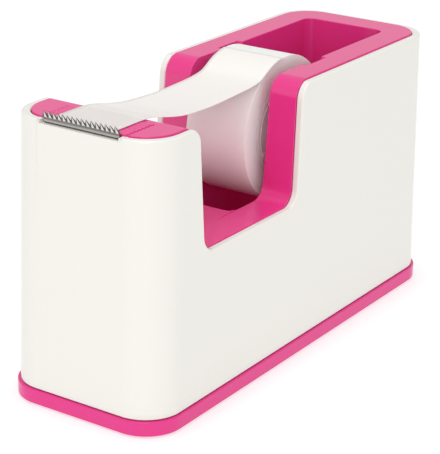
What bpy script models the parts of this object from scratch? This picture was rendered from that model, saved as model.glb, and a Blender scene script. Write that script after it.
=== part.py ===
"""Desk tape dispenser: weighted two-colour housing, lift-out hub and a roll of tape.

Metres, +Z up, front (cutting blade) towards -Y, width along X.
The origin is the middle of the non-slip pad's underside.
"""
import math

import bmesh
import bpy
from mathutils import Matrix, Vector

MM = 0.001

# ---- overall -------------------------------------------------------------
WIDTH = 49.7            # plinth, across X
LENGTH = 142.4          # plinth, along Y
RIM_TOP = 76.8          # top of the inner liner above the plinth's underside
PLINTH_H = 4.0
PLINTH_R = 10.65        # plan corner radius
PAD_PROUD = 0.5         # the non-slip pad stands out below the plinth
GAP = 0.3               # between pieces that touch

# ---- outer shell ---------------------------------------------------------
SHELL_INSET = 0.65
SHELL_WALL = 2.1
SHELL_TOP = 76.5
DRAFT_SIDE = 0.013      # mm in per mm up
DRAFT_END = 0.018

# ---- side notches --------------------------------------------------------
NOTCH_FRONT_TOP = -50.7
NOTCH_FRONT_LOW = -49.1
NOTCH_REAR_TOP = -3.7
NOTCH_REAR_LOW = -5.1
NOTCH_FLOOR = 43.4
NOTCH_R_FRONT_TOP = 4.2
NOTCH_R_REAR_TOP = 5.4
NOTCH_R_LOW = 4.6

# ---- well and its walls --------------------------------------------------
WELL_HALF_TOP = 13.0
WELL_HALF_LOW = 12.0
WELL_FRONT = -19.8
WELL_REAR = 58.2
WELL_FLOOR = 24.0
WELL_CORNER_R = 2.6
LINER_SKIN = 2.0
WELL_SKIN = 2.8
LINER_BOTTOM = 21.0

# ---- roll and hub --------------------------------------------------------
AXLE_Y, AXLE_Z = 10.0, 58.7
ROLL_R = 20.2
TAPE_W = 19.0
CORE_R_OUT, CORE_R_IN = 14.0, 12.7
HUB_R = 12.4
PIN_R = 3.0
SLOT_MOUTH_Y = 17.5     # middle of the guide slot where it meets the rim
SLOT_HALF = 4.7
SLOT_FLOOR_X = 14.6
SHOE_HALF = 4.3

# ---- blade and landing pad ----------------------------------------------
BLADE_HALF = 11.6
BLADE_T = 0.6
TEETH = 16
TOOTH_H = 1.45
BLADE_H = 2.95          # lower edge to tooth tips
BLADE_FOOT_Y, BLADE_FOOT_Z = -67.9, 75.75
BLADE_LEAN = math.radians(8)
PAD_HALF = 12.9         # landing pad, half width

SLOT_LEAN = math.atan2(SLOT_MOUTH_Y - AXLE_Y, RIM_TOP - AXLE_Z)
Z0 = PAD_PROUD          # everything is measured from the plinth's underside

for old in list(bpy.data.objects):
    bpy.data.objects.remove(old, do_unlink=True)
for old in list(bpy.data.collections):
    bpy.data.collections.remove(old)

parts = bpy.data.collections.new("tape_dispenser")
cutters = bpy.data.collections.new("cutters")
bpy.context.scene.collection.children.link(parts)
bpy.context.scene.collection.children.link(cutters)


def material(name, colour, roughness, metallic=0.0):
    m = bpy.data.materials.new(name)
    m.use_nodes = True
    bsdf = m.node_tree.nodes["Principled BSDF"]
    bsdf.inputs["Base Color"].default_value = (*colour, 1.0)
    bsdf.inputs["Roughness"].default_value = roughness
    bsdf.inputs["Metallic"].default_value = metallic
    return m


MAT = {
    "pink_base": material("pink_plinth", (0.78, 0.05, 0.23), 0.28),
    "pink_liner": material("pink_liner", (0.78, 0.05, 0.23), 0.25),
    "pink_pad": material("pink_ribbed_pad", (0.78, 0.05, 0.23), 0.4),
    "white": material("white_gloss_plastic", (0.88, 0.87, 0.85), 0.18),
    "blade": material("blade_steel", (0.56, 0.55, 0.53), 0.3, 1.0),
    "pin": material("pin_steel", (0.6, 0.6, 0.6), 0.25, 1.0),
    "iron": material("ballast_iron", (0.12, 0.12, 0.13), 0.6, 1.0),
    "zinc": material("zinc_screw", (0.62, 0.62, 0.63), 0.35, 1.0),
    "grey": material("grey_plastic", (0.36, 0.34, 0.33), 0.4),
    "rubber": material("black_rubber", (0.03, 0.03, 0.03), 0.8),
    "core": material("white_core", (0.8, 0.78, 0.75), 0.5),
    "tape": material("matte_tape", (0.86, 0.84, 0.8), 0.35),
    "film": material("free_tape_film", (0.86, 0.84, 0.8), 0.35),
}


# ---- helpers -------------------------------------------------------------
def link(obj, mat=None, cutter=False):
    (cutters if cutter else parts).objects.link(obj)
    if mat:
        obj.data.materials.append(MAT[mat])
    if cutter:
        obj.hide_render = True
        obj.display_type = 'WIRE'
    return obj


def mesh_object(name, bm, mat=None, cutter=False):
    bmesh.ops.recalc_face_normals(bm, faces=bm.faces)
    me = bpy.data.meshes.new(name)
    bm.to_mesh(me)
    bm.free()
    return link(bpy.data.objects.new(name, me), mat, cutter)


def drafted_box(name, z_low, z_high, half_low, half_high, radius, mat=None,
                cutter=False, centre_y=0.0, centre_y_high=None, segments=8):
    """A box with two plan sizes and rounded upright edges."""
    bm = bmesh.new()
    bmesh.ops.create_cube(bm, size=2.0)
    if centre_y_high is None:
        centre_y_high = centre_y
    for v in bm.verts:
        top = v.co.z > 0
        hx, hy = half_high if top else half_low
        cy = centre_y_high if top else centre_y
        v.co = Vector((v.co.x * hx * MM, (v.co.y * hy + cy) * MM,
                       ((z_high if top else z_low) + Z0) * MM))
    upright = [e for e in bm.edges
               if abs(e.verts[0].co.z - e.verts[1].co.z) > 0.5 * MM * abs(z_high - z_low)]
    if radius > 0:
        bmesh.ops.bevel(bm, geom=upright, offset=radius * MM, segments=segments,
                        profile=0.5, affect='EDGES', clamp_overlap=True)
    return mesh_object(name, bm, mat, cutter)


def box(name, lo, hi, mat=None, cutter=False):
    bm = bmesh.new()
    bmesh.ops.create_cube(bm, size=1.0)
    for v in bm.verts:
        v.co = Vector(((lo[0] if v.co.x < 0 else hi[0]) * MM,
                       (lo[1] if v.co.y < 0 else hi[1]) * MM,
                       ((lo[2] if v.co.z < 0 else hi[2]) + Z0) * MM))
    return mesh_object(name, bm, mat, cutter)


def cylinder(name, radius, depth, location, axis='Z', mat=None, cutter=False, segments=32):
    bm = bmesh.new()
    bmesh.ops.create_cone(bm, cap_ends=True, segments=segments, radius1=radius * MM,
                          radius2=radius * MM, depth=depth * MM)
    if axis == 'X':
        bmesh.ops.rotate(bm, verts=bm.verts, matrix=Matrix.Rotation(math.pi / 2, 3, 'Y'))
    obj = mesh_object(name, bm, mat, cutter)
    obj.location = Vector(location) * MM + Vector((0, 0, Z0 * MM))
    return obj


def arc(cy, cz, r, a0, a1, n):
    """Points of an arc in the YZ plane; angles in degrees from +Y."""
    return [(cy + r * math.cos(math.radians(a0 + (a1 - a0) * i / n)),
             cz + r * math.sin(math.radians(a0 + (a1 - a0) * i / n))) for i in range(n + 1)]


def across(name, outline, x_low, x_high, mat=None, cutter=False):
    """A YZ outline as a filled 2D curve, extruded from x_low to x_high, made a mesh."""
    cu = bpy.data.curves.new(name + "_outline", 'CURVE')
    cu.dimensions = '2D'
    cu.fill_mode = 'BOTH'
    cu.extrude = 0.5 * (x_high - x_low) * MM
    sp = cu.splines.new('POLY')
    sp.points.add(len(outline) - 1)
    for p, (y, z) in zip(sp.points, outline):
        p.co = (y * MM, (z + Z0) * MM, 0.0, 1.0)
    sp.use_cyclic_u = True
    tmp = bpy.data.objects.new(name + "_tmp", cu)
    parts.objects.link(tmp)
    bpy.context.view_layer.update()
    me = bpy.data.meshes.new_from_object(tmp.evaluated_get(bpy.context.evaluated_depsgraph_get()))
    bpy.data.objects.remove(tmp, do_unlink=True)
    bpy.data.curves.remove(cu)
    bm = bmesh.new()
    bm.from_mesh(me)
    bpy.data.meshes.remove(me)
    bmesh.ops.remove_doubles(bm, verts=bm.verts, dist=0.000001)
    # local (x, y, z) of the curve is world (y, z, x)
    mid = 0.5 * (x_low + x_high) * MM
    for v in bm.verts:
        v.co = Vector((v.co.z + mid, v.co.x, v.co.y))
    return mesh_object(name, bm, mat, cutter)


def turned(name, profile, mat, cutter=False, steps=48):
    """A closed (x, r) profile turned about X with a Screw modifier, made a mesh."""
    bm = bmesh.new()
    vs = [bm.verts.new((r * MM, 0, x * MM)) for x, r in profile]
    for a, b in zip(vs, vs[1:]):
        bm.edges.new((a, b))
    if profile[0][1] > 0 and profile[-1][1] > 0:
        bm.edges.new((vs[-1], vs[0]))
    me = bpy.data.meshes.new(name + "_profile")
    bm.to_mesh(me)
    bm.free()
    tmp = bpy.data.objects.new(name + "_tmp", me)
    parts.objects.link(tmp)
    sc = tmp.modifiers.new("turn", 'SCREW')
    sc.angle = math.tau
    sc.steps = sc.render_steps = steps
    sc.use_merge_vertices = True
    sc.merge_threshold = 0.000001
    bpy.context.view_layer.update()
    made = bpy.data.meshes.new_from_object(tmp.evaluated_get(bpy.context.evaluated_depsgraph_get()))
    bpy.data.objects.remove(tmp, do_unlink=True)
    bm = bmesh.new()
    bm.from_mesh(made)
    bpy.data.meshes.remove(made)
    bmesh.ops.remove_doubles(bm, verts=bm.verts, dist=0.000001)
    bmesh.ops.rotate(bm, verts=bm.verts, matrix=Matrix.Rotation(math.pi / 2, 3, 'Y'))
    return mesh_object(name, bm, mat, cutter)


def boolean(obj, other, operation='DIFFERENCE'):
    m = obj.modifiers.new(other.name, 'BOOLEAN')
    m.operation = operation
    m.solver = 'EXACT'
    m.object = other
    return m


def shell_half(z, inset=0.0):
    """Half width and half length of the shell's outer face at height z, less an inset."""
    return (0.5 * WIDTH - SHELL_INSET - (z - PLINTH_H) * DRAFT_SIDE - inset,
            0.5 * LENGTH - SHELL_INSET - (z - PLINTH_H) * DRAFT_END - inset)


def shell_solid(name, z_low, z_high, inset, radius, mat=None, cutter=False):
    return drafted_box(name, z_low, z_high, shell_half(z_low, inset),
                       shell_half(z_high, inset), radius, mat, cutter)


def notch_outline(grow=0.0, front=0.0, top=RIM_TOP + 8):
    """Side notch seen along X: two flared top corners and two rounded low corners."""
    n = 6
    fl, rl = NOTCH_FRONT_LOW - grow + front, NOTCH_REAR_LOW + grow
    ft, rt = NOTCH_FRONT_TOP - grow + front, NOTCH_REAR_TOP + grow
    floor = NOTCH_FLOOR - grow
    lip = RIM_TOP + (3.0 if grow else 0.02)
    rl_ = max(NOTCH_R_LOW - 0.0, 1.0)
    pts = []
    if grow:
        pts += [(ft, lip), (fl, floor + rl_)]
    else:
        r = NOTCH_R_FRONT_TOP
        pts += [(ft - r, top)]
        pts += arc(ft - r, lip - r, r, 90, 0, n)
        pts += [(fl, floor + rl_)]
    pts += arc(fl + rl_, floor + rl_, rl_, 180, 270, n)[1:]
    pts += arc(rl - rl_, floor + rl_, rl_, 270, 360, n)
    if grow:
        pts += [(rt, RIM_TOP - 7.0), (rt + 3.0, lip)]
    else:
        r = NOTCH_R_REAR_TOP
        pts += arc(rt + r, lip - r, r, 180, 90, n)
        pts += [(rt + r, top)]
    return pts


# ---- housing: plinth, pad and screws --------------------------------------
SCREW_AT = [(-13.5, -58.5), (13.5, -58.5), (-15.0, 60.3), (15.0, 60.3)]

plinth = drafted_box("base_plate", 0.0, PLINTH_H, (0.5 * WIDTH, 0.5 * LENGTH),
                     (0.5 * WIDTH, 0.5 * LENGTH), PLINTH_R, "pink_base")
lip_in = shell_half(6.0, SHELL_WALL + GAP + 0.1)
spigot = drafted_box("cut_spigot", PLINTH_H - 0.5, 6.0, lip_in, lip_in, 9.3, cutter=True)
boolean(plinth, spigot, 'UNION')
recess = drafted_box("cut_pad_recess", -1.0, 1.3, (20.8, 66.8), (20.8, 66.8), 6.5, cutter=True)
boolean(plinth, recess)
for i, (x, y) in enumerate(SCREW_AT):
    boolean(plinth, cylinder("cut_screw_way_%d" % i, 1.8, 20.0, (x, y, 5.0), cutter=True, segments=20))
    boolean(plinth, cylinder("cut_screw_seat_%d" % i, 3.5, 8.0, (x, y, -1.1), cutter=True, segments=24))

pad = drafted_box("non_slip_pad", -PAD_PROUD, 1.0, (20.4, 66.4), (20.4, 66.4), 6.1, "rubber")
for i, (x, y) in enumerate(SCREW_AT):
    boolean(pad, cylinder("cut_pad_hole_%d" % i, 4.2, 8.0, (x, y, 0.0), cutter=True, segments=24))

for i, (x, y) in enumerate(SCREW_AT):
    # head under the plinth's web, shank up into the liner's boss
    screw = turned("base_screw_%s" % ("front_left", "front_right", "rear_left", "rear_right")[i],
                   [(14.0, 0.0), (14.0, 0.9), (13.4, 1.45), (2.6, 1.45), (2.6, 2.9),
                    (1.2, 2.9), (0.9, 2.4), (0.9, 0.0)], "zinc", steps=20)
    screw.rotation_euler = (0, -math.pi / 2, 0)
    screw.location = (x * MM, y * MM, Z0 * MM)

# ---- housing: white outer shell -------------------------------------------
shell = shell_solid("outer_shell", PLINTH_H + GAP, SHELL_TOP, 0.0, 10.4, "white")
bore = shell_solid("cut_shell_bore", PLINTH_H - 5, SHELL_TOP + 5, SHELL_WALL, 9.2, cutter=True)
boolean(shell, bore)
side_notch = across("cut_side_notch", notch_outline(), -40, 40, cutter=True)
boolean(shell, side_notch)
blade_gap = box("cut_blade_gap", (-BLADE_HALF - 0.5, -75.0, 75.1), (BLADE_HALF + 0.5, -66.0, 79.0), cutter=True)
boolean(shell, blade_gap)

# ---- housing: inner liner ---------------------------------------------------
liner = shell_solid("inner_liner", LINER_BOTTOM, RIM_TOP, SHELL_WALL + GAP, 9.4, "pink_liner")
well = drafted_box("cut_well", WELL_FLOOR, RIM_TOP + 0.02,
                   (WELL_HALF_LOW, 0.5 * (WELL_REAR - 0.6 - WELL_FRONT)),
                   (WELL_HALF_TOP, 0.5 * (WELL_REAR - WELL_FRONT)), WELL_CORNER_R, cutter=True,
                   centre_y=0.5 * (WELL_REAR - 0.6 + WELL_FRONT),
                   centre_y_high=0.5 * (WELL_REAR + WELL_FRONT), segments=4)
chute = across("cut_chute", [(-19.0, 46.0), (-19.0, NOTCH_FLOOR - 0.02), (-47.0, NOTCH_FLOOR - 1.1),
                             (-48.6, NOTCH_FLOOR + 1.0), (-48.6, 46.0)],
               -12.35, 12.35, cutter=True)

# hollow underneath, left around the well, the ledge and the notch faces
hollow = shell_solid("cut_hollow", LINER_BOTTOM - 2.0, RIM_TOP - LINER_SKIN,
                     SHELL_WALL + GAP + LINER_SKIN, 7.2, cutter=True)
keep_well = drafted_box("cut_keep_well", LINER_BOTTOM - 4.0, RIM_TOP + 1.0,
                        (WELL_HALF_LOW + WELL_SKIN, 0.5 * (WELL_REAR - WELL_FRONT) + WELL_SKIN - 0.3),
                        (WELL_HALF_TOP + WELL_SKIN, 0.5 * (WELL_REAR - WELL_FRONT) + WELL_SKIN),
                        3.0, cutter=True, centre_y=0.5 * (WELL_REAR + WELL_FRONT), segments=4)
keep_notch = across("cut_keep_notch", notch_outline(grow=LINER_SKIN + 0.4), -42, 42, cutter=True)
boolean(hollow, keep_well)
boolean(hollow, keep_notch)

boolean(liner, hollow)
for i, (x, y) in enumerate(SCREW_AT):
    boss_r = 3.0
    boolean(liner, cylinder("cut_boss_%d" % i, boss_r, RIM_TOP - 1.0 - 6.4,
                            (x, y, 0.5 * (RIM_TOP - 1.0 + 6.4)), cutter=True, segments=24), 'UNION')
boolean(liner, side_notch)
boolean(liner, well)
boolean(liner, chute)
for i, (x, y) in enumerate(SCREW_AT):
    boolean(liner, cylinder("cut_boss_bore_%d" % i, 1.75, 16.0, (x, y, 7.5), cutter=True, segments=20))

# sloping guide slots for the hub's shoes, open at the rim
slot_len = 60.0
for side, tag in ((-1, "left"), (1, "right")):
    ca, sa = math.cos(SLOT_LEAN), math.sin(SLOT_LEAN)
    local = [(SLOT_HALF, slot_len)] + arc(0, 0, SLOT_HALF, 0, -180, 10) + [(-SLOT_HALF, slot_len)]
    pts = [(AXLE_Y + y * ca + z * sa, AXLE_Z - y * sa + z * ca) for y, z in local]
    lo, hi = (-SLOT_FLOOR_X, -5.0) if side < 0 else (5.0, SLOT_FLOOR_X)
    boolean(liner, across("cut_slot_" + tag, pts, lo, hi, cutter=True))

# recesses in the deck for the blade's flange and the landing pad
blade_recess = box("cut_blade_recess", (-BLADE_HALF - GAP, -70.0, 75.2), (BLADE_HALF + GAP, -64.0, 79.0), cutter=True)
pad_recess = box("cut_pad_seat", (-PAD_HALF - GAP, -65.2, 75.2), (PAD_HALF + GAP, -55.8, 79.0), cutter=True)
boolean(liner, blade_recess)
boolean(liner, pad_recess)

# ---- housing: landing pad and blade -----------------------------------------
ribs = [(-65.0, 75.5), (-56.1, 75.5), (-56.1, 76.7)]
y = -56.5
while y > -64.4:
    ribs += [(y, 77.1), (y - 0.7, 77.1), (y - 0.95, 76.6), (y - 1.25, 76.6)]
    y -= 1.5
ribs += [(-65.0, 76.9)]
landing = across("landing_pad", ribs, -PAD_HALF, PAD_HALF, "pink_pad")

pitch = 2.0 * BLADE_HALF / TEETH
cu = bpy.data.curves.new("blade_outline", 'CURVE')
cu.dimensions = '2D'
cu.fill_mode = 'BOTH'
cu.extrude = 0.5 * BLADE_T * MM
outline = [(-BLADE_HALF, 0.5), (-BLADE_HALF + 0.5, 0.0), (BLADE_HALF - 0.5, 0.0), (BLADE_HALF, 0.5)]
for i in range(TEETH):
    right = BLADE_HALF - i * pitch
    outline += [(right, BLADE_H - TOOTH_H), (right - 0.85 * pitch, BLADE_H)]
outline += [(-BLADE_HALF, BLADE_H - TOOTH_H)]
sp = cu.splines.new('POLY')
sp.points.add(len(outline) - 1)
for p, (x, h) in zip(sp.points, outline):
    p.co = (x * MM, h * MM, 0.0, 1.0)
sp.use_cyclic_u = True
tmp = bpy.data.objects.new("blade_tmp", cu)
parts.objects.link(tmp)
bpy.context.view_layer.update()
me = bpy.data.meshes.new_from_object(tmp.evaluated_get(bpy.context.evaluated_depsgraph_get()))
bpy.data.objects.remove(tmp, do_unlink=True)
bm = bmesh.new()
bm.from_mesh(me)
bmesh.ops.remove_doubles(bm, verts=bm.verts, dist=0.000001)
# stand the strip up and lean its teeth forward
bmesh.ops.rotate(bm, verts=bm.verts, matrix=Matrix.Rotation(math.pi / 2 + BLADE_LEAN, 3, 'X'))
bmesh.ops.translate(bm, verts=bm.verts, vec=Vector((0, BLADE_FOOT_Y * MM, (BLADE_FOOT_Z + Z0) * MM)))
blade = mesh_object("cutting_blade", bm, "blade")
flange = box("cut_blade_flange", (-BLADE_HALF + 0.5, -67.95, 75.5), (BLADE_HALF - 0.5, -65.35, 76.15), cutter=True)
boolean(blade, flange, 'UNION')

# ---- housing: ballast ---------------------------------------------------------
box("ballast_front", (-9.6, -64.0, 8.0), (9.6, -53.6, 62.0), "iron")
box("ballast_middle", (-17.6, -51.0, 20.6), (17.6, -25.0, 39.4), "iron")
box("ballast_base", (-18.0, -50.0, 7.2), (18.0, 54.0, 20.2), "iron")

# ---- hub and roll ---------------------------------------------------------------
hub = bpy.data.objects.new("hub_axis", None)
hub.location = (0, AXLE_Y * MM, (AXLE_Z + Z0) * MM)
parts.objects.link(hub)


def on_hub(obj):
    obj.parent = hub
    return obj


on_hub(turned("axle_pin", [(-12.6, 0.0), (-12.6, PIN_R - 0.4), (-12.2, PIN_R), (12.2, PIN_R),
                           (12.6, PIN_R - 0.4), (12.6, 0.0)], "pin", steps=32))

for side, tag in ((-1, "left"), (1, "right")):
    ca, sa = math.cos(SLOT_LEAN), math.sin(SLOT_LEAN)
    local = arc(0, 6.0, SHOE_HALF, 0, 180, 10) + arc(0, 0, SHOE_HALF, 180, 360, 10)
    pts = [(y * ca + z * sa, -y * sa + z * ca - Z0) for y, z in local]
    lo, hi = (-14.2, -9.9) if side < 0 else (9.9, 14.2)
    shoe = across("guide_shoe_" + tag, pts, lo, hi, "grey")
    bore = cylinder("cut_shoe_bore_" + tag, PIN_R + GAP, 6.0, (side * 9.9, 0, -Z0), 'X', cutter=True)
    on_hub(bore)
    boolean(shoe, bore)
    on_hub(shoe)

    # cup shaped hub half: rim, web set in from the face, and a sleeve round the pin
    s = side
    cup = [(s * 0.15, HUB_R), (s * 9.4, HUB_R), (s * 9.4, HUB_R - 1.3), (s * 8.7, HUB_R - 1.6),
           (s * 8.7, PIN_R + 2.6), (s * 9.5, PIN_R + 2.2), (s * 9.5, PIN_R + GAP),
           (s * 0.15, PIN_R + GAP), (s * 0.15, PIN_R + 1.8), (s * 7.2, PIN_R + 1.8),
           (s * 7.2, HUB_R - 1.6), (s * 0.15, HUB_R - 1.6)]
    on_hub(turned("hub_" + tag, cup, "grey", steps=48))

on_hub(turned("tape_core", [(-9.5, CORE_R_OUT), (9.5, CORE_R_OUT), (9.5, CORE_R_IN),
                            (-9.5, CORE_R_IN)], "core", steps=56))
on_hub(turned("tape_winding", [(-9.5, ROLL_R - 0.3), (-9.2, ROLL_R), (9.2, ROLL_R), (9.5, ROLL_R - 0.3),
                               (9.5, CORE_R_OUT + GAP), (-9.5, CORE_R_OUT + GAP)], "tape", steps=72))

# ---- free end of the tape: off the roll, across the gap and over the pad ---------
TAIL_T = 0.35
lead = [(AXLE_Y + (ROLL_R + 0.5) * math.cos(math.radians(a)),
         AXLE_Z + (ROLL_R + 0.5) * math.sin(math.radians(a))) for a in (110, 116, 121)]
path = lead + [(-4.0, 74.75), (-8.0, 74.1), (-13.0, 73.75), (-19.6, 73.5), (-26.0, 73.4), (-33.2, 73.65),
               (-38.5, 74.1), (-43.8, 75.1), (-48.9, 76.35), (-52.5, 77.2), (-55.5, 77.62),
               (-59.2, 77.68), (-65.4, 77.68)]
upper, lower = [], []
for i, (py, pz) in enumerate(path):
    qy, qz = path[max(i - 1, 0)]
    ry, rz = path[min(i + 1, len(path) - 1)]
    ty, tz = ry - qy, rz - qz
    n = math.hypot(ty, tz)
    ny, nz = -tz / n, ty / n
    upper.append((py + ny * TAIL_T / 2, pz + nz * TAIL_T / 2))
    lower.append((py - ny * TAIL_T / 2, pz - nz * TAIL_T / 2))
tail = across("tape_tail", upper + lower[::-1], -0.5 * TAPE_W, 0.5 * TAPE_W, "film")
tail.parent = hub       # the free end travels with the hub; its points stay where they lie
tail.matrix_parent_inverse = Matrix.Translation(-hub.location)

# ---- smooth shading for the round pieces --------------------------------------
for obj in parts.objects:
    if obj.type == 'MESH':
        obj.data.shade_smooth()
        obj.data.set_sharp_from_angle(angle=math.radians(35))
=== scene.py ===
import math

import bmesh
import bpy
from mathutils import Matrix, Vector


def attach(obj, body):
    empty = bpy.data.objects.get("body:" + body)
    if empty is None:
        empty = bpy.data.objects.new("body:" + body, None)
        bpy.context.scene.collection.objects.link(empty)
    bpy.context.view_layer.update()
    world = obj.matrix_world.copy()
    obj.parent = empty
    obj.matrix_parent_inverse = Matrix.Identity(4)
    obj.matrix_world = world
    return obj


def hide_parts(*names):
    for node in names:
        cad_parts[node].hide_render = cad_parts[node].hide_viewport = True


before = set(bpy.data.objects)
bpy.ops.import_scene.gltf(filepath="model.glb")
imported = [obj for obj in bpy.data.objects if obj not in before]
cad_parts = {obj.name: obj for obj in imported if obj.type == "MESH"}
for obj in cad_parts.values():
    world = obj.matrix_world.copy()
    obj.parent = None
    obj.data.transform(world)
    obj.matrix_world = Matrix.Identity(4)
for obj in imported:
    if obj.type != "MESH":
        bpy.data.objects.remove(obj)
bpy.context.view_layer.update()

MM = 0.001
scene = bpy.context.scene
scene.view_settings.view_transform = 'Standard'
scene.view_settings.look = 'None'

# ---------------------------------------------------------------------------
# dimensions, in mm, the same as the CAD model's; Z0 is the plinth's underside
# ---------------------------------------------------------------------------
Z0 = 0.5
WIDTH, LENGTH, RIM_TOP = 49.7, 142.4, 76.8
PLINTH_H, PLINTH_R = 4.0, 10.65
SHELL_INSET, SHELL_WALL, SHELL_TOP, GAP = 0.65, 2.1, 76.5, 0.3
DRAFT_SIDE, DRAFT_END = 0.013, 0.018
NOTCH_FRONT_TOP, NOTCH_FRONT_LOW = -50.7, -49.1
NOTCH_REAR_TOP, NOTCH_REAR_LOW = -3.7, -5.1
NOTCH_FLOOR = 43.4
NOTCH_R_FRONT_TOP, NOTCH_R_REAR_TOP, NOTCH_R_LOW = 4.2, 5.4, 4.6
WELL_HALF_TOP, WELL_HALF_LOW = 13.0, 12.0
WELL_FRONT, WELL_REAR, WELL_FLOOR, WELL_CORNER_R = -19.8, 58.2, 24.0, 2.6
LINER_SKIN, WELL_SKIN, LINER_BOTTOM = 2.0, 2.8, 21.0
AXLE_Y, AXLE_Z, ROLL_R = 10.0, 58.7, 20.2
CORE_R_OUT, CORE_R_IN, HUB_R, PIN_R = 14.0, 12.7, 12.4, 3.0
SLOT_HALF, SLOT_FLOOR_X, SHOE_HALF = 4.7, 14.6, 4.3
SLOT_LEAN = math.atan2(7.5, RIM_TOP - AXLE_Z)
BLADE_HALF, BLADE_T, TEETH, TOOTH_H, BLADE_H = 11.6, 0.6, 16, 1.45, 2.95
BLADE_FOOT_Y, BLADE_FOOT_Z = -67.9, 75.75
BLADE_LEAN = math.radians(8)
PAD_HALF = 12.9
SCREW_AT = [(-13.5, -58.5), (13.5, -58.5), (-15.0, 60.3), (15.0, 60.3)]
SCREW_NAMES = ["front_left", "front_right", "rear_left", "rear_right"]


# ---------------------------------------------------------------------------
# node materials
# ---------------------------------------------------------------------------
def new_material(name):
    m = bpy.data.materials.new(name)
    m.use_nodes = True
    nt = m.node_tree
    bsdf = nt.nodes["Principled BSDF"]
    tc = nt.nodes.new("ShaderNodeTexCoord")
    return m, nt, bsdf, tc


def noise(nt, tc, scale, detail=4.0, rough=0.5):
    n = nt.nodes.new("ShaderNodeTexNoise")
    n.inputs["Scale"].default_value = scale
    n.inputs["Detail"].default_value = detail
    n.inputs["Roughness"].default_value = rough
    nt.links.new(tc.outputs["Object"], n.inputs["Vector"])
    return n


def span(nt, source, lo, hi):
    r = nt.nodes.new("ShaderNodeMapRange")
    r.inputs["To Min"].default_value = lo
    r.inputs["To Max"].default_value = hi
    nt.links.new(source, r.inputs["Value"])
    return r.outputs["Result"]


def bump(nt, bsdf, source, strength, distance, prev=None):
    b = nt.nodes.new("ShaderNodeBump")
    b.inputs["Strength"].default_value = strength
    b.inputs["Distance"].default_value = distance
    nt.links.new(source, b.inputs["Height"])
    if prev is not None:
        nt.links.new(prev, b.inputs["Normal"])
    nt.links.new(b.outputs["Normal"], bsdf.inputs["Normal"])
    return b.outputs["Normal"]


def two_tone(nt, bsdf, source, a, b):
    mix = nt.nodes.new("ShaderNodeMix")
    mix.data_type = 'RGBA'
    mix.inputs[6].default_value = (*a, 1.0)
    mix.inputs[7].default_value = (*b, 1.0)
    nt.links.new(source, mix.inputs[0])
    nt.links.new(mix.outputs[2], bsdf.inputs["Base Color"])
    return mix


def gloss_plastic(name, a, b, rough, coat=0.0, ior=1.5, peel=0.05, sss=0.0):
    """Moulded gloss plastic: faint cloud in the colour, polish marks in the roughness,
    and the slow ripple that a polished mould leaves."""
    m, nt, bsdf, tc = new_material(name)
    cloud = noise(nt, tc, 38.0, 3.0)
    two_tone(nt, bsdf, cloud.outputs["Fac"], a, b)
    fine = noise(nt, tc, 420.0, 5.0, 0.6)
    nt.links.new(span(nt, fine.outputs["Fac"], rough[0], rough[1]), bsdf.inputs["Roughness"])
    ripple = noise(nt, tc, 260.0, 2.0)
    bump(nt, bsdf, ripple.outputs["Fac"], peel, 0.0004)
    bsdf.inputs["IOR"].default_value = ior
    bsdf.inputs["Coat Weight"].default_value = coat
    bsdf.inputs["Coat Roughness"].default_value = 0.06
    if sss:
        bsdf.inputs["Subsurface Weight"].default_value = sss
        bsdf.inputs["Subsurface Radius"].default_value = (0.0022, 0.0018, 0.0014)
        bsdf.inputs["Subsurface Scale"].default_value = 1.0
    return m


def fine_plastic(name, a, b, rough, grain=900.0, strength=0.25, distance=0.00006):
    """Moulded plastic with a fine spark-eroded grain."""
    m, nt, bsdf, tc = new_material(name)
    cloud = noise(nt, tc, 60.0, 3.0)
    two_tone(nt, bsdf, cloud.outputs["Fac"], a, b)
    g = noise(nt, tc, grain, 3.0, 0.6)
    nt.links.new(span(nt, g.outputs["Fac"], rough[0], rough[1]), bsdf.inputs["Roughness"])
    bump(nt, bsdf, g.outputs["Fac"], strength, distance)
    return m


def metal(name, a, b, rough, stretch, strength=0.2, distance=0.00005):
    """Rolled or drawn metal: streaks along one direction."""
    m, nt, bsdf, tc = new_material(name)
    mp = nt.nodes.new("ShaderNodeMapping")
    mp.inputs["Scale"].default_value = stretch
    nt.links.new(tc.outputs["Object"], mp.inputs["Vector"])
    n = nt.nodes.new("ShaderNodeTexNoise")
    n.inputs["Scale"].default_value = 1.0
    n.inputs["Detail"].default_value = 6.0
    nt.links.new(mp.outputs["Vector"], n.inputs["Vector"])
    two_tone(nt, bsdf, n.outputs["Fac"], a, b)
    nt.links.new(span(nt, n.outputs["Fac"], rough[0], rough[1]), bsdf.inputs["Roughness"])
    bump(nt, bsdf, n.outputs["Fac"], strength, distance)
    bsdf.inputs["Metallic"].default_value = 1.0
    return m


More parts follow.
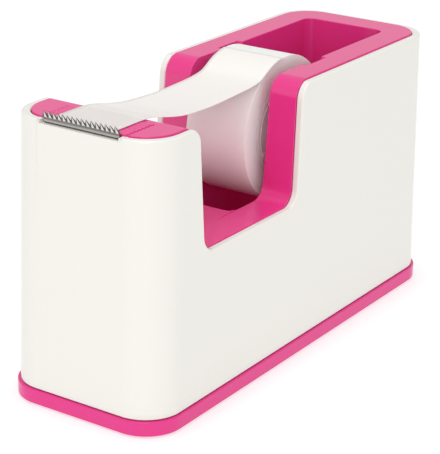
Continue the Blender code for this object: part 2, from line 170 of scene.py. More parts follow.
PINK_A, PINK_B = (0.770, 0.034, 0.240), (0.790, 0.038, 0.252)
MAT = {
    "white": gloss_plastic("shell_white_gloss", (0.823, 0.809, 0.765), (0.835, 0.821, 0.777), (0.10, 0.15), ior=1.5, peel=0.03),
    "pink": gloss_plastic("liner_pink", PINK_A, PINK_B, (0.10, 0.15), ior=1.55, peel=0.03),
    "pink_base": gloss_plastic("plinth_pink", (0.745, 0.034, 0.240), (0.765, 0.038, 0.252), (0.14, 0.19), ior=1.42, peel=0.03),
    "pink_pad": fine_plastic("pad_pink", PINK_A, PINK_B, (0.19, 0.27), strength=0.1),
    "grey": fine_plastic("hub_grey", (0.74, 0.745, 0.74), (0.79, 0.795, 0.79), (0.42, 0.54)),
    "steel": metal("blade_steel", (0.22, 0.20, 0.195), (0.36, 0.335, 0.325), (0.24, 0.36), (30.0, 2600.0, 2600.0)),
    # lighter steel on the lip and the fold: a painted highlight on the strip
    "lip": metal("blade_lip_painted_highlight", (0.44, 0.42, 0.41), (0.58, 0.56, 0.545), (0.22, 0.34), (30.0, 2600.0, 2600.0)),
    # painted shade: dark steel on each tooth's long slope, the left part of each tooth's bevel and the strip's lowest
    # band
    "painted_shade": metal("blade_painted_shade", (0.10, 0.09, 0.088), (0.17, 0.155, 0.15), (0.3, 0.42), (2000.0, 300.0, 300.0)),
    # ground steel, made much lighter as a painted highlight on the right part of each tooth's bevel
    "ground_and_highlight": metal("blade_ground_teeth_painted_highlight", (0.74, 0.735, 0.72), (0.85, 0.845, 0.83), (0.22, 0.3), (2400.0, 200.0, 200.0)),
    "pin": metal("pin_steel", (0.52, 0.52, 0.52), (0.62, 0.62, 0.62), (0.22, 0.3), (60.0, 2400.0, 2400.0)),
    "zinc": metal("screw_zinc", (0.56, 0.57, 0.58), (0.66, 0.67, 0.68), (0.28, 0.42), (700.0, 700.0, 700.0), 0.3),
    "iron": fine_plastic("ballast_cast_iron", (0.045, 0.045, 0.05), (0.085, 0.083, 0.085), (0.5, 0.75), 700.0, 0.8, 0.0004),
    "rubber": fine_plastic("pad_rubber", (0.018, 0.018, 0.019), (0.03, 0.03, 0.031), (0.6, 0.78), 1400.0, 0.5, 0.0002),
}
MAT["iron"].node_tree.nodes["Principled BSDF"].inputs["Metallic"].default_value = 0.6


def winding_material():
    """Frosted film wound tight: the sides show the turns as fine rings."""
    m, nt, bsdf, tc = new_material("tape_wound_film")
    mp = nt.nodes.new("ShaderNodeMapping")
    mp.inputs["Location"].default_value = (0.0, -AXLE_Y * MM, -(AXLE_Z + Z0) * MM)
    nt.links.new(tc.outputs["Object"], mp.inputs["Vector"])
    sep = nt.nodes.new("ShaderNodeSeparateXYZ")
    nt.links.new(mp.outputs["Vector"], sep.inputs["Vector"])
    comb = nt.nodes.new("ShaderNodeCombineXYZ")
    nt.links.new(sep.outputs["Y"], comb.inputs["Y"])
    nt.links.new(sep.outputs["Z"], comb.inputs["Z"])
    ln = nt.nodes.new("ShaderNodeVectorMath")
    ln.operation = 'LENGTH'
    nt.links.new(comb.outputs["Vector"], ln.inputs[0])
    rings = nt.nodes.new("ShaderNodeTexNoise")
    rings.noise_dimensions = '1D'
    rings.inputs["Scale"].default_value = 5200.0
    rings.inputs["Detail"].default_value = 5.0
    nt.links.new(ln.outputs["Value"], rings.inputs["W"])
    two_tone(nt, bsdf, rings.outputs["Fac"], (0.840, 0.852, 0.828), (0.872, 0.882, 0.860))
    nt.links.new(span(nt, rings.outputs["Fac"], 0.38, 0.5), bsdf.inputs["Roughness"])
    bump(nt, bsdf, rings.outputs["Fac"], 0.12, 0.0001)
    bsdf.inputs["Subsurface Weight"].default_value = 0.35
    bsdf.inputs["Subsurface Radius"].default_value = (0.004, 0.0035, 0.003)
    bsdf.inputs["Subsurface Scale"].default_value = 1.0
    return m


def tail_material():
    """Frosted film: clearer where it is pressed on the pad, milky where it hangs free."""
    m, nt, bsdf, tc = new_material("tape_free_film")
    cloud = noise(nt, tc, 120.0, 4.0)
    two_tone(nt, bsdf, cloud.outputs["Fac"], (0.915, 0.885, 0.855), (0.932, 0.905, 0.877))
    sep = nt.nodes.new("ShaderNodeSeparateXYZ")
    nt.links.new(tc.outputs["Object"], sep.inputs["Vector"])
    r = nt.nodes.new("ShaderNodeMapRange")
    r.interpolation_type = 'SMOOTHSTEP'
    r.inputs["From Min"].default_value = -0.0555
    r.inputs["From Max"].default_value = -0.0470
    r.inputs["To Min"].default_value = 0.74
    r.inputs["To Max"].default_value = 0.95
    nt.links.new(sep.outputs["Y"], r.inputs["Value"])
    nt.links.new(r.outputs["Result"], bsdf.inputs["Alpha"])
    fine = noise(nt, tc, 1500.0, 3.0)
    nt.links.new(span(nt, fine.outputs["Fac"], 0.3, 0.42), bsdf.inputs["Roughness"])
    bump(nt, bsdf, fine.outputs["Fac"], 0.15, 0.00003)
    return m


MAT["winding"] = winding_material()
MAT["tail"] = tail_material()
MAT["core"] = fine_plastic("core_white", (0.80, 0.78, 0.75), (0.84, 0.82, 0.79), (0.4, 0.5), 500.0)


# ---------------------------------------------------------------------------
# mesh helpers
# ---------------------------------------------------------------------------
def put(me, name):
    obj = bpy.data.objects.new(name, me)
    scene.collection.objects.link(obj)
    return obj


def from_bm(bm, name):
    bmesh.ops.recalc_face_normals(bm, faces=bm.faces)
    me = bpy.data.meshes.new(name)
    bm.to_mesh(me)
    bm.free()
    return put(me, name)


def drafted_box(name, z_low, z_high, half_low, half_high, radius, centre_y=0.0,
                centre_y_high=None, segments=24):
    bm = bmesh.new()
    bmesh.ops.create_cube(bm, size=2.0)
    if centre_y_high is None:
        centre_y_high = centre_y
    for v in bm.verts:
        top = v.co.z > 0
        hx, hy = half_high if top else half_low
        cy = centre_y_high if top else centre_y
        v.co = Vector((v.co.x * hx * MM, (v.co.y * hy + cy) * MM,
                       ((z_high if top else z_low) + Z0) * MM))
    upright = [e for e in bm.edges
               if abs(e.verts[0].co.z - e.verts[1].co.z) > 0.5 * MM * abs(z_high - z_low)]
    if radius > 0:
        bmesh.ops.bevel(bm, geom=upright, offset=radius * MM, segments=segments,
                        profile=0.5, affect='EDGES', clamp_overlap=True)
    return from_bm(bm, name)


def box(name, lo, hi):
    bm = bmesh.new()
    bmesh.ops.create_cube(bm, size=1.0)
    for v in bm.verts:
        v.co = Vector(((lo[0] if v.co.x < 0 else hi[0]) * MM,
                       (lo[1] if v.co.y < 0 else hi[1]) * MM,
                       ((lo[2] if v.co.z < 0 else hi[2]) + Z0) * MM))
    return from_bm(bm, name)


def cylinder(name, radius, depth, location, axis='Z', segments=64, radius2=None):
    bm = bmesh.new()
    bmesh.ops.create_cone(bm, cap_ends=True, segments=segments, radius1=radius * MM,
                          radius2=(radius if radius2 is None else radius2) * MM, depth=depth * MM)
    if axis == 'X':
        bmesh.ops.rotate(bm, verts=bm.verts, matrix=Matrix.Rotation(math.pi / 2, 3, 'Y'))
    bmesh.ops.translate(bm, verts=bm.verts,
                        vec=Vector(location) * MM + Vector((0, 0, Z0 * MM)))
    return from_bm(bm, name)


def arc(cy, cz, r, a0, a1, n):
    return [(cy + r * math.cos(math.radians(a0 + (a1 - a0) * i / n)),
             cz + r * math.sin(math.radians(a0 + (a1 - a0) * i / n))) for i in range(n + 1)]


def across(name, outline, x_low, x_high):
    """A YZ outline extruded along X."""
    bm = bmesh.new()
    vs = [bm.verts.new((x_low * MM, y * MM, (z + Z0) * MM)) for y, z in outline]
    face = bm.faces.new(vs)
    out = bmesh.ops.extrude_face_region(bm, geom=[face])
    moved = [g for g in out["geom"] if isinstance(g, bmesh.types.BMVert)]
    bmesh.ops.translate(bm, verts=moved, vec=Vector(((x_high - x_low) * MM, 0, 0)))
    return from_bm(bm, name)


def turned(name, profile, steps=96, centre=(0.0, AXLE_Y, AXLE_Z), axis='X'):
    """A closed (along, r) profile turned about an axis through centre."""
    bm = bmesh.new()
    rings = []
    for a, r in profile:
        if r <= 1e-9:
            rings.append([bm.verts.new((a, 0, 0))])
        else:
            rings.append([bm.verts.new((a, r * math.cos(math.tau * i / steps),
                                        r * math.sin(math.tau * i / steps))) for i in range(steps)])
    n = len(rings)
    open_ends = profile[0][1] <= 1e-9 and profile[-1][1] <= 1e-9
    for k in range(n - 1 if open_ends else n):
        p, q = rings[k], rings[(k + 1) % n]
        for i in range(steps):
            j = (i + 1) % steps
            if len(p) == 1 and len(q) == 1:
                continue
            if len(p) == 1:
                bm.faces.new((p[0], q[i], q[j]))
            elif len(q) == 1:
                bm.faces.new((p[i], p[j], q[0]))
            else:
                bm.faces.new((p[i], p[j], q[j], q[i]))
    for v in bm.verts:
        v.co = v.co * MM
    if axis == 'Z':
        bmesh.ops.rotate(bm, verts=bm.verts, matrix=Matrix.Rotation(-math.pi / 2, 3, 'Y'))
    bmesh.ops.translate(bm, verts=bm.verts,
                        vec=Vector((centre[0] * MM, centre[1] * MM, (centre[2] + Z0) * MM)))
    return from_bm(bm, name)


def rounded(points, r, n=4, closed=True):
    """A polyline with its corners rounded; r is one radius or one per point."""
    out = []
    m = len(points)
    for i, p in enumerate(points):
        rr = r[i] if isinstance(r, (list, tuple)) else r
        if rr <= 0 or (not closed and i in (0, m - 1)):
            out.append(p)
            continue
        a, b = Vector(points[i - 1]), Vector(points[(i + 1) % m])
        c = Vector(p)
        u, v = (a - c), (b - c)
        d = min(rr, 0.45 * u.length, 0.45 * v.length)
        s, e = c + u.normalized() * d, c + v.normalized() * d
        for k in range(n + 1):
            t = k / n
            out.append(tuple((1 - t) ** 2 * s + 2 * t * (1 - t) * c + t * t * e))
    return out


def cut(obj, others, operation='DIFFERENCE'):
    """Applies booleans in turn and removes the cutters."""
    if not isinstance(others, (list, tuple)):
        others = [others]
    for o in others:
        m = obj.modifiers.new("b", 'BOOLEAN')
        m.operation = operation
        m.solver = 'EXACT'
        m.object = o
    bpy.context.view_layer.update()
    me = bpy.data.meshes.new_from_object(obj.evaluated_get(bpy.context.evaluated_depsgraph_get()))
    obj.modifiers.clear()
    old = obj.data
    obj.data = me
    bpy.data.meshes.remove(old)
    for o in others:
        bpy.data.objects.remove(o, do_unlink=True)
    return obj


def soften(obj, width, segments=3, angle=35.0, keep=None, clamp=False):
    """Rounds the sharp edges; keep(midpoint in mm) limits which."""
    bm = bmesh.new()
    bm.from_mesh(obj.data)
    bmesh.ops.remove_doubles(bm, verts=bm.verts, dist=0.000002)
    bmesh.ops.dissolve_limit(bm, angle_limit=math.radians(0.15), verts=bm.verts, edges=bm.edges)
    edges = []
    for e in bm.edges:
        if len(e.link_faces) == 2 and e.calc_face_angle(0.0) > math.radians(angle):
            mid = (e.verts[0].co + e.verts[1].co) / 2 / MM
            mid.z -= Z0
            if keep is None or keep(mid):
                edges.append(e)
    bmesh.ops.bevel(bm, geom=edges, offset=width * MM, segments=segments, profile=0.5,
                    affect='EDGES', clamp_overlap=clamp, miter_outer='ARC', harden_normals=False)
    bmesh.ops.recalc_face_normals(bm, faces=bm.faces)
    bm.to_mesh(obj.data)
    bm.free()
    return obj


def finish_piece(obj, mat, body, nodes, smooth=35.0):
    which = [p.material_index for p in obj.data.polygons]
    obj.data.materials.clear()
    several = isinstance(mat, (list, tuple))
    for one in (mat if several else [mat]):
        obj.data.materials.append(MAT[one])
    if several:         # clearing the slots resets the faces' own numbers
        for p, k in zip(obj.data.polygons, which):
            p.material_index = k
    obj.data.shade_smooth()
    obj.data.set_sharp_from_angle(angle=math.radians(smooth))
    w = obj.modifiers.new("flat_faces", 'WEIGHTED_NORMAL')
    w.keep_sharp = True
    w.weight = 60
    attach(obj, body)
    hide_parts(*nodes)
    return obj


def shell_half(z, inset=0.0):
    return (0.5 * WIDTH - SHELL_INSET - (z - PLINTH_H) * DRAFT_SIDE - inset,
            0.5 * LENGTH - SHELL_INSET - (z - PLINTH_H) * DRAFT_END - inset)


def shell_solid(name, z_low, z_high, inset, radius, segments=24):
    return drafted_box(name, z_low, z_high, shell_half(z_low, inset), shell_half(z_high, inset),
                       radius, segments=segments)


def notch_outline(grow=0.0, top=RIM_TOP + 8, n=14):
    fl, rl = NOTCH_FRONT_LOW - grow, NOTCH_REAR_LOW + grow
    ft, rt = NOTCH_FRONT_TOP - grow, NOTCH_REAR_TOP + grow
    floor = NOTCH_FLOOR - grow
    lip = RIM_TOP + (3.0 if grow > 0.5 else 0.02 - grow)
    r = NOTCH_R_LOW
    pts = []
    if grow > 0.5:
        pts += [(ft, lip), (fl, floor + r)]
    else:
        a = NOTCH_R_FRONT_TOP
        pts += [(ft - a, top)] + arc(ft - a, lip - a, a, 90, 0, n) + [(fl, floor + r)]
    pts += arc(fl + r, floor + r, r, 180, 270, n)[1:]
    pts += arc(rl - r, floor + r, r, 270, 360, n)
    if grow > 0.5:
        pts += [(rt, RIM_TOP - 7.0), (rt + 3.0, lip)]
    else:
        a = NOTCH_R_REAR_TOP
        pts += arc(rt + a, lip - a, a, 180, 90, n) + [(rt + a, top)]
    return pts


# ---------------------------------------------------------------------------
# housing
# ---------------------------------------------------------------------------
shell = shell_solid("shell", PLINTH_H + GAP, SHELL_TOP, 0.0, 10.4)
cut(shell, [shell_solid("c", PLINTH_H - 5, SHELL_TOP + 5, SHELL_WALL, 9.2),
            across("c", notch_outline(), -40, 40),
            box("c", (-BLADE_HALF - 0.5, -75.0, 75.60), (BLADE_HALF + 0.5, -66.0, 79.0))])
soften(shell, 0.6, 4, keep=lambda p: p.z > 6 and not (p.y < -66 and abs(p.x) < 12.9))
soften(shell, 0.3, 3, keep=lambda p: p.z > 75.55 and p.y < -68.9 and abs(p.x) < 11.9)
finish_piece(shell, "white", "housing", ["outer_shell"])

liner = shell_solid("liner", LINER_BOTTOM, RIM_TOP, SHELL_WALL + 0.07, 9.2)
well = drafted_box("c", WELL_FLOOR, RIM_TOP + 0.02,
                   (WELL_HALF_LOW, 0.5 * (WELL_REAR - 0.6 - WELL_FRONT)),
                   (WELL_HALF_TOP, 0.5 * (WELL_REAR - WELL_FRONT)), WELL_CORNER_R,
                   centre_y=0.5 * (WELL_REAR - 0.6 + WELL_FRONT),
                   centre_y_high=0.5 * (WELL_REAR + WELL_FRONT), segments=10)
chute = across("c", [(-19.0, 46.0), (-19.0, NOTCH_FLOOR - 0.02), (-47.0, NOTCH_FLOOR - 1.1),
                     (-48.6, NOTCH_FLOOR + 1.0), (-48.6, 46.0)], -12.35, 12.35)
slots = []
for side in (-1, 1):
    ca, sa = math.cos(SLOT_LEAN), math.sin(SLOT_LEAN)
    local = [(SLOT_HALF, 60.0)] + arc(0, 0, SLOT_HALF, 0, -180, 24) + [(-SLOT_HALF, 60.0)]
    pts = [(AXLE_Y + y * ca + z * sa, AXLE_Z - y * sa + z * ca) for y, z in local]
    slots.append(across("c", pts, *((-SLOT_FLOOR_X, -5.0) if side < 0 else (5.0, SLOT_FLOOR_X))))
cut(liner, [across("c", notch_outline(), -40, 40), well, chute] + slots +
    [box("c", (-BLADE_HALF - 0.3, -72.0, 75.45), (BLADE_HALF + 0.3, -64.0, 79.0)),
     box("c", (-PAD_HALF - 0.12, -65.2, 75.2), (PAD_HALF + 0.12, -55.8, 79.0))])
# the blade's and pad's recesses are too shallow to soften
soften(liner, 0.22, 3, keep=lambda p: p.z > WELL_FLOOR - 1
       and not (abs(p.x) < PAD_HALF + 0.6 and -65.8 < p.y < -55.4 and p.z > 74.9))
# hollow underneath, with the four screw bosses
hollow = shell_solid("h", LINER_BOTTOM - 2.0, RIM_TOP - LINER_SKIN, SHELL_WALL + GAP + LINER_SKIN, 7.2, 8)
keep_well = drafted_box("c", LINER_BOTTOM - 4.0, RIM_TOP + 1.0,
                        (WELL_HALF_LOW + WELL_SKIN, 0.5 * (WELL_REAR - WELL_FRONT) + WELL_SKIN - 0.3),
                        (WELL_HALF_TOP + WELL_SKIN, 0.5 * (WELL_REAR - WELL_FRONT) + WELL_SKIN),
                        3.0, centre_y=0.5 * (WELL_REAR + WELL_FRONT), segments=4)
cut(hollow, [keep_well, across("c", notch_outline(grow=LINER_SKIN + 0.4, n=6), -42, 42)])
cut(liner, hollow)
for x, y in SCREW_AT:
    cut(liner, cylinder("c", 3.0, RIM_TOP - 1.0 - 6.4, (x, y, 0.5 * (RIM_TOP - 1.0 + 6.4)), segments=32), 'UNION')
    cut(liner, cylinder("c", 1.75, 16.0, (x, y, 7.5), segments=24))
finish_piece(liner, "pink", "housing", ["inner_liner"])

plinth = drafted_box("plinth", 0.0, PLINTH_H, (0.5 * WIDTH, 0.5 * LENGTH),
                     (0.5 * WIDTH, 0.5 * LENGTH), PLINTH_R)
soften(plinth, 0.3, 3)
lip_in = shell_half(6.0, SHELL_WALL + GAP + 0.1)
cut(plinth, drafted_box("c", PLINTH_H - 0.5, 6.0, lip_in, lip_in, 9.3), 'UNION')
cut(plinth, [drafted_box("c", -1.0, 1.3, (20.8, 66.8), (20.8, 66.8), 6.5)]
    + [cylinder("c", 1.8, 20.0, (x, y, 5.0)) for x, y in SCREW_AT]
    + [cylinder("c", 3.5, 8.0, (x, y, -1.1)) for x, y in SCREW_AT])
finish_piece(plinth, "pink_base", "housing", ["base_plate"])

pad = drafted_box("foot_pad", -0.5, 1.0, (20.4, 66.4), (20.4, 66.4), 6.1)
cut(pad, [cylinder("c", 4.2, 8.0, (x, y, 0.0)) for x, y in SCREW_AT])
soften(pad, 0.22, 3)
finish_piece(pad, "rubber", "housing", ["non_slip_pad"])

for (x, y), tag in zip(SCREW_AT, SCREW_NAMES):
    screw = turned("screw_" + tag,
                   [(14.0, 0.0), (13.4, 0.35)] +
                   [p for k in range(14) for p in ((13.0 - 0.7 * k, 1.45), (12.65 - 0.7 * k, 1.12))] +
                   [(2.9, 1.2), (2.6, 1.4), (2.6, 2.75), (2.45, 2.9), (1.35, 2.9), (1.1, 2.6), (0.92, 1.8), (0.9, 0.0)],
                   steps=32, centre=(0, 0, 0), axis='Z')
    for v in screw.data.vertices:
        v.co = Vector((v.co.x, v.co.y, v.co.z))
    screw.data.transform(Matrix.Translation((x * MM, y * MM, 0)))
    cross = [box("c", (x - 1.5, y - 0.32, 0.0), (x + 1.5, y + 0.32, 1.9)),
             box("c", (x - 0.32, y - 1.5, 0.0), (x + 0.32, y + 1.5, 1.9))]
    cut(screw, cross)
    finish_piece(screw, "zinc", "housing", ["base_screw_" + tag])

def pad_outline(depth):
    out = [(-65.0, 75.5), (-56.0, 75.5), (-56.0, 76.85)]
    yy = -56.7
    while yy > -66.2:
        out += [(yy, 76.93), (yy - 0.14, 76.97), (yy - 0.66, 76.97), (yy - 0.80, 76.93),
                (yy - 0.95, 76.97 - depth), (yy - 1.35, 76.97 - depth)]
        yy -= 1.5
    return out + [(-67.3, 76.8), (-67.3, 76.25), (-65.0, 76.25)]


landing = across("landing", pad_outline(0.07), -PAD_HALF + 0.2, PAD_HALF - 0.2)
finish_piece(landing, "pink_pad", "housing", ["landing_pad"])
for side in (-1, 1):
    lo, hi = sorted((side * (PAD_HALF - 0.25), side * (PAD_HALF + 0.26)))
    margin = across("landing_edge_%d" % (side + 1), pad_outline(0.5), lo, hi)
    finish_piece(margin, "pink_pad", "housing", ["landing_pad"])

# blade: folded strip, flange and 16 ground teeth
bm = bmesh.new()
pitch = 2 * BLADE_HALF / TEETH
base_h = BLADE_H - TOOTH_H


def bv(x, h, t):
    """x along the blade, h up the strip, t back from its front face."""
    c, s = math.cos(BLADE_LEAN), math.sin(BLADE_LEAN)
    y = BLADE_FOOT_Y - 0.3 / c - h * s + t * c
    z = BLADE_FOOT_Z + h * c + t * s
    return bm.verts.new((x * MM, y * MM, (z + Z0) * MM))


def level(x):
    """Foot of the strip: its two lower corners are cut off."""
    return max(0.0, abs(x) - (BLADE_HALF - 0.5))


xs = sorted(set(round(v, 6) for v in [-BLADE_HALF + 0.5, BLADE_HALF - 0.5]
                + [-BLADE_HALF + i * pitch for i in range(TEETH + 1)]
                + [-BLADE_HALF + (i + 0.40) * pitch for i in range(TEETH)]))
# the strip: lower lip, fold, upper band; the lip's lowest band is dark steel as painted shade, the rest of the lip and
# the fold a lighter steel as a painted highlight
bands = ((None, 0.30, 0.12, 0.0, 2), (0.30, 0.66, 0.0, 0.0, 3), (0.66, 0.86, 0.0, 0.16, 3), (0.86, base_h, 0.16, 0.0, 0))
for x0, x1 in zip(xs, xs[1:]):
    for h0, h1, d0, d1, slot_no in bands:
        l0, l1 = max(h0 or 0.0, level(x0)), max(h0 or 0.0, level(x1))
        u0, u1 = max(h1, l0), max(h1, l1)
        f = bm.faces.new((bv(x0, l0, d0), bv(x1, l1, d0), bv(x1, u1, d1), bv(x0, u1, d1)))
        f.material_index = slot_no
    bm.faces.new((bv(x1, level(x1), BLADE_T), bv(x0, level(x0), BLADE_T), bv(x0, base_h, BLADE_T), bv(x1, base_h, BLADE_T)))
    bm.faces.new((bv(x0, level(x0), 0.12), bv(x0, level(x0), BLADE_T), bv(x1, level(x1), BLADE_T), bv(x1, level(x1), 0.12)))
for x in (-BLADE_HALF, BLADE_HALF):
    bm.faces.new([bv(x, 0.5, 0.12), bv(x, 0.5, 0.0), bv(x, 0.66, 0.0), bv(x, 0.86, 0.16), bv(x, base_h, 0),
                  bv(x, base_h, BLADE_T), bv(x, 0.5, BLADE_T)])
for i in range(TEETH):
    x0 = -BLADE_HALF + i * pitch
    x1 = x0 + pitch
    xt = x0 + 0.05 * pitch                  # the tip stands near the tooth's left end
    xg = x0 + 0.40 * pitch                  # where the bevel's painted shade meets its painted highlight, along the foot
    # ground bevel: from the tip down across the front face
    t0, t1 = bv(xt, BLADE_H, BLADE_T - 0.14), bv(xt, BLADE_H, BLADE_T)
    a0, a1 = bv(x0, base_h, 0), bv(x1, base_h, 0)
    b0, b1 = bv(x0, base_h, BLADE_T), bv(x1, base_h, BLADE_T)
    foot = [v for v in xs if x0 - 1e-4 <= v <= x1 + 1e-4]
    # left part of the bevel, in dark steel: painted shade
    f = bm.faces.new([bv(v, base_h, 0) for v in foot if v <= xg + 1e-4] + [t0])
    f.material_index = 2
    f = bm.faces.new([bv(v, base_h, 0) for v in foot if v >= xg - 1e-4] + [t0])       # right part of the bevel, along the long slope: ground steel, made much lighter as a painted highlight
    f.material_index = 1
    bm.faces.new([bv(v, base_h, BLADE_T) for v in reversed(foot)] + [t1])
    # the long slope's top face, in dark steel: painted shade
    f = bm.faces.new((a1, b1, t1, t0))
    f.material_index = 2
    bm.faces.new((b0, a0, t0, t1))
bmesh.ops.remove_doubles(bm, verts=bm.verts, dist=0.00002)
bmesh.ops.holes_fill(bm, edges=[e for e in bm.edges if e.is_boundary], sides=0)
blade = from_bm(bm, "blade")
flange = across("blade_flange", rounded([(-67.9, 75.5), (-65.35, 75.5), (-65.35, 76.15), (-67.9, 76.15)], 0.15, 3),
                -BLADE_HALF + 0.5, BLADE_HALF - 0.5)
# the blade's steels: plain, ground steel lit up as a painted highlight, dark steel as painted shade, lighter lip steel
# as a painted highlight
finish_piece(blade, ["steel", "ground_and_highlight", "painted_shade", "lip"], "housing", ["cutting_blade"], smooth=20)
finish_piece(flange, "steel", "housing", ["cutting_blade"], smooth=40)

# ---------------------------------------------------------------------------
# hub carriage
# ---------------------------------------------------------------------------
pin = turned("axle_bar", [(-12.6, 0.0), (-12.6, PIN_R - 0.45), (-12.5, PIN_R - 0.25), (-12.2, PIN_R),
                          (12.2, PIN_R), (12.5, PIN_R - 0.25), (12.6, PIN_R - 0.45), (12.6, 0.0)], steps=64)
finish_piece(pin, "pin", "hub_carriage", ["axle_pin"])
for side, tag in ((-1, "left"), (1, "right")):
    ca, sa = math.cos(SLOT_LEAN), math.sin(SLOT_LEAN)
    local = arc(0, 6.0, SHOE_HALF, 0, 180, 28) + arc(0, 0, SHOE_HALF, 180, 360, 28)
    pts = [(AXLE_Y + y * ca + z * sa, AXLE_Z - y * sa + z * ca) for y, z in local]
    lo, hi = (-14.2, -9.9) if side < 0 else (9.9, 14.2)
    shoe = across("shoe_" + tag, pts, lo, hi)
    soften(shoe, 0.35, 3)
    cut(shoe, cylinder("c", PIN_R + 0.08, 6.0, (side * 9.9, AXLE_Y, AXLE_Z), 'X'))
    finish_piece(shoe, "grey", "hub_carriage", ["guide_shoe_" + tag])

# free end of the tape: leaves the roll, sags across the gap and lies on the ribs
FILM = 0.09
rr = ROLL_R + 0.07
path = arc(AXLE_Y, AXLE_Z, rr, 96, 123, 14)
ctrl = [path[-1], (-3.4, 74.65), (-7.0, 74.05), (-11.5, 73.68), (-19.6, 73.38), (-26.0, 73.30), (-33.2, 73.60),
        (-38.5, 74.02), (-43.8, 74.98), (-48.6, 76.10), (-52.3, 76.85), (-55.6, 77.12), (-60.0, 77.17), (-67.1, 77.17)]


def smooth_path(pts, per=10):
    """Catmull-Rom through the points."""
    out = []
    for i in range(len(pts) - 1):
        p0, p1 = Vector(pts[max(i - 1, 0)]), Vector(pts[i])
        p2, p3 = Vector(pts[i + 1]), Vector(pts[min(i + 2, len(pts) - 1)])
        for k in range(per):
            t = k / per
            out.append(0.5 * ((2 * p1) + (p2 - p0) * t + (2 * p0 - 5 * p1 + 4 * p2 - p3) * t * t
                              + (3 * p1 - p0 - 3 * p2 + p3) * t ** 3))
    out.append(Vector(pts[-1]))
    return out


path = [Vector(p) for p in path[:-1]] + smooth_path([path[-2]] + ctrl)[10:]
tape_len = sum((b - a).length for a, b in zip(path, path[1:]))
bm = bmesh.new()
ACROSS = 16
grid = []
run = 0.0
for i, p in enumerate(path):
    a, b = path[max(i - 1, 0)], path[min(i + 1, len(path) - 1)]
    t = (b - a).normalized()
    nrm = Vector((-t.y, t.x))
    if nrm.y < 0:
        nrm = -nrm
    if i:
        run += (p - path[i - 1]).length
    free = max(0.0, min(1.0, (run - 9) / 14.0)) * max(0.0, min(1.0, (tape_len - 17 - run) / 14.0))
    row = []
    for j in range(ACROSS + 1):
        u = -1 + 2 * j / ACROSS
        # the free span cups a little across its width and has one slow twist
        lift = free * (0.28 * (u * u - 0.35) + 0.10 * u * math.sin(run / 11.0))
        x = 9.5 * u
        row.append(bm.verts.new((x * MM, (p.x + nrm.x * lift) * MM, (p.y + nrm.y * lift + Z0) * MM)))
    grid.append(row)
for a, b in zip(grid, grid[1:]):
    for j in range(ACROSS):
        bm.faces.new((a[j], a[j + 1], b[j + 1], b[j]))
tail = from_bm(bm, "tape_free_end")
so = tail.modifiers.new("film", 'SOLIDIFY')
so.thickness = FILM * MM
so.offset = 0.0
tail.data.materials.append(MAT["tail"])
tail.data.shade_smooth()
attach(tail, "hub_carriage")
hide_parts("tape_tail")

# ---------------------------------------------------------------------------
# roll
# ---------------------------------------------------------------------------
for side, tag in ((-1, "left"), (1, "right")):
    s = side
    cup = [(s * 0.15, HUB_R - 0.2), (s * 0.35, HUB_R), (s * 7.2, HUB_R), (s * 7.4, HUB_R - 0.40),
           (s * 9.40, HUB_R - 0.40), (s * 9.46, HUB_R - 0.46), (s * 9.46, HUB_R - 0.85), (s * 9.38, HUB_R - 1.0),
           (s * 9.32, HUB_R - 1.1), (s * 9.3, HUB_R - 1.3),
           (s * 9.3, PIN_R + 2.8), (s * 9.32, PIN_R + 2.45), (s * 9.35, PIN_R + 2.25), (s * 9.5, PIN_R + 2.0),
           (s * 9.5, PIN_R + 0.5), (s * 9.35, PIN_R + 0.2), (s * 0.15, PIN_R + 0.2), (s * 0.15, PIN_R + 1.8),
           (s * 7.2, PIN_R + 1.8), (s * 7.2, HUB_R - 1.6), (s * 0.15, HUB_R - 1.6)]
    hub = turned("hub_half_" + tag, cup, steps=128)
    finish_piece(hub, "grey", "tape_roll", ["hub_" + tag])
    # spring lugs on the rim and ribs on the web
    for k, deg in enumerate((130, 210, 310, 30)):
        a = math.radians(deg)
        lug = box("hub_lug_%s_%d" % (tag, k), (min(s * 8.5, s * 9.55), -1.0, -0.6), (max(s * 8.5, s * 9.55), 1.0, 0.9))
        lug.data.transform(Matrix.Translation((0, 0, -Z0 * MM)))
        soften(lug, 0.25, 3)
        lug.data.transform(Matrix.Translation((0, 0, (HUB_R - 0.95) * MM)))
        lug.data.transform(Matrix.Rotation(a - math.pi / 2, 4, 'X'))
        lug.data.transform(Matrix.Translation((0, AXLE_Y * MM, (AXLE_Z + Z0) * MM)))
        finish_piece(lug, "grey", "tape_roll", ["hub_" + tag])
        rib = box("hub_rib_%s_%d" % (tag, k), (min(s * 8.6, s * 9.1), -0.45, PIN_R + 2.2 - Z0),
                  (max(s * 8.6, s * 9.1), 0.45, HUB_R - 1.5 - Z0))
        soften(rib, 0.12, 2)
        rib.data.transform(Matrix.Rotation(a - math.pi / 2, 4, 'X'))
        rib.data.transform(Matrix.Translation((0, AXLE_Y * MM, (AXLE_Z + Z0) * MM)))
        finish_piece(rib, "grey", "tape_roll", ["hub_" + tag])

core = turned("core_ring", rounded([(-9.5, CORE_R_OUT), (9.5, CORE_R_OUT), (9.5, CORE_R_IN), (-9.5, CORE_R_IN)],
                                   0.07, 2), steps=128)
finish_piece(core, "core", "tape_roll", ["tape_core"])

# the winding: its sides step in and out a few hundredths where turns have shifted
side_steps = [(ROLL_R, 0.0), (19.2, -0.02), (18.1, 0.015), (17.3, -0.015), (16.4, 0.01), (15.4, -0.02), (14.3, 0.0)]
prof = [(9.5 + d, r) for r, d in side_steps]
prof[0] = (9.42, ROLL_R - 0.06)
prof = [(9.28, ROLL_R)] + prof
prof = [(-a, r) for a, r in reversed(prof)] + prof
prof = [p for p in prof]
outline = [(-a, r) for a, r in prof[len(prof) // 2:]][::-1] + prof[len(prof) // 2:]
winding = turned("winding", outline, steps=192)
finish_piece(winding, "winding", "tape_roll", ["tape_winding"], smooth=25)

# carried-over CAD nodes get the fine cast-iron material
for n in ("ballast_front", "ballast_middle", "ballast_base"):
    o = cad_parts[n]
    o.data.materials.clear()
    o.data.materials.append(MAT["iron"])

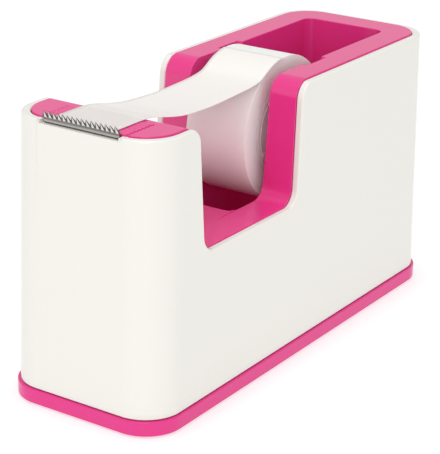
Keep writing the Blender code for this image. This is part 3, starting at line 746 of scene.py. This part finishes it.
# ---------------------------------------------------------------------------
# stage, light and camera
# ---------------------------------------------------------------------------
bpy.ops.mesh.primitive_circle_add(vertices=96, radius=3.0, fill_type='NGON', location=(0, 0, 0))
floor = bpy.context.object
floor.name = "floor"
fm, nt, bsdf, tc = new_material("floor_pale")
fn = noise(nt, tc, 6.0, 3.0)
two_tone(nt, bsdf, fn.outputs["Fac"], (0.50, 0.50, 0.50), (0.51, 0.51, 0.51))
bsdf.inputs["Emission Color"].default_value = (1.0, 1.0, 1.0, 1.0)
bsdf.inputs["Emission Strength"].default_value = 0.55
bsdf.inputs["Roughness"].default_value = 0.6
bsdf.inputs["Specular IOR Level"].default_value = 0.2
floor.data.materials.append(fm)

world = scene.world or bpy.data.worlds.new("world")
scene.world = world
world.use_nodes = True
wn = world.node_tree
bg = wn.nodes["Background"]
bg.inputs["Color"].default_value = (1.0, 0.997, 0.99, 1.0)
bg.inputs["Strength"].default_value = 0.68


def area(name, location, target, size, energy, colour=(1, 1, 1)):
    ld = bpy.data.lights.new(name, 'AREA')
    ld.shape = 'RECTANGLE'
    ld.size, ld.size_y = size
    ld.energy = energy
    ld.color = colour
    lo = bpy.data.objects.new(name, ld)
    lo.location = location
    d = Vector(target) - Vector(location)
    lo.rotation_euler = d.to_track_quat('-Z', 'Y').to_euler()
    scene.collection.objects.link(lo)
    return lo


area("front_box", (-0.40, -1.30, 0.45), (0, 0, 0.04), (1.1, 0.9), 0.5, (1.0, 0.97, 0.90))
area("near_box", (0.80, -1.22, 0.66), (0, 0, 0.05), (0.8, 0.7), 4.7, (1.0, 0.99, 0.97))
area("side_box", (1.5, -0.15, 0.7), (0, 0, 0.04), (1.0, 0.8), 0.2, (0.99, 0.995, 1.0))
area("top_box", (0.0, -0.22, 1.5), (0, 0, 0.04), (1.0, 1.0), 7.6)

# pale backdrop, seen by the camera only, so that the studio's own light shades the object
bpy.ops.mesh.primitive_uv_sphere_add(segments=48, ring_count=24, radius=6.0, location=(0, 0, 0))
drop = bpy.context.object
drop.name = "backdrop"
dm = bpy.data.materials.new("backdrop_pale")
dm.use_nodes = True
dn = dm.node_tree
dn.nodes.remove(dn.nodes["Principled BSDF"])
em = dn.nodes.new("ShaderNodeEmission")
em.inputs["Color"].default_value = (1, 1, 1, 1)
em.inputs["Strength"].default_value = 1.05
dn.links.new(em.outputs["Emission"], dn.nodes["Material Output"].inputs["Surface"])
drop.data.materials.append(dm)
for flag in ("visible_diffuse", "visible_glossy", "visible_transmission", "visible_shadow", "visible_volume_scatter"):
    setattr(drop, flag, False)

cam_data = bpy.data.cameras.new("camera")
cam_data.lens = 138.42
cam_data.sensor_width = 36.0
cam_data.clip_start, cam_data.clip_end = 0.01, 20.0
cam = bpy.data.objects.new("camera", cam_data)
scene.collection.objects.link(cam)
az, el, roll = math.radians(33.502), math.radians(20.814), math.radians(1.144)
back = Vector((math.sin(az) * math.cos(el), -math.cos(az) * math.cos(el), math.sin(el)))
right = Vector((math.cos(az), math.sin(az), 0))
up = back.cross(right)
r2 = right * math.cos(roll) + up * math.sin(roll)
u2 = up * math.cos(roll) - right * math.sin(roll)
mat = Matrix((r2, u2, back)).transposed().to_4x4()
mat.translation = Vector((0.24870, -0.38255, 0.20408))
cam.matrix_world = mat
scene.camera = cam

bpy.context.view_layer.update()
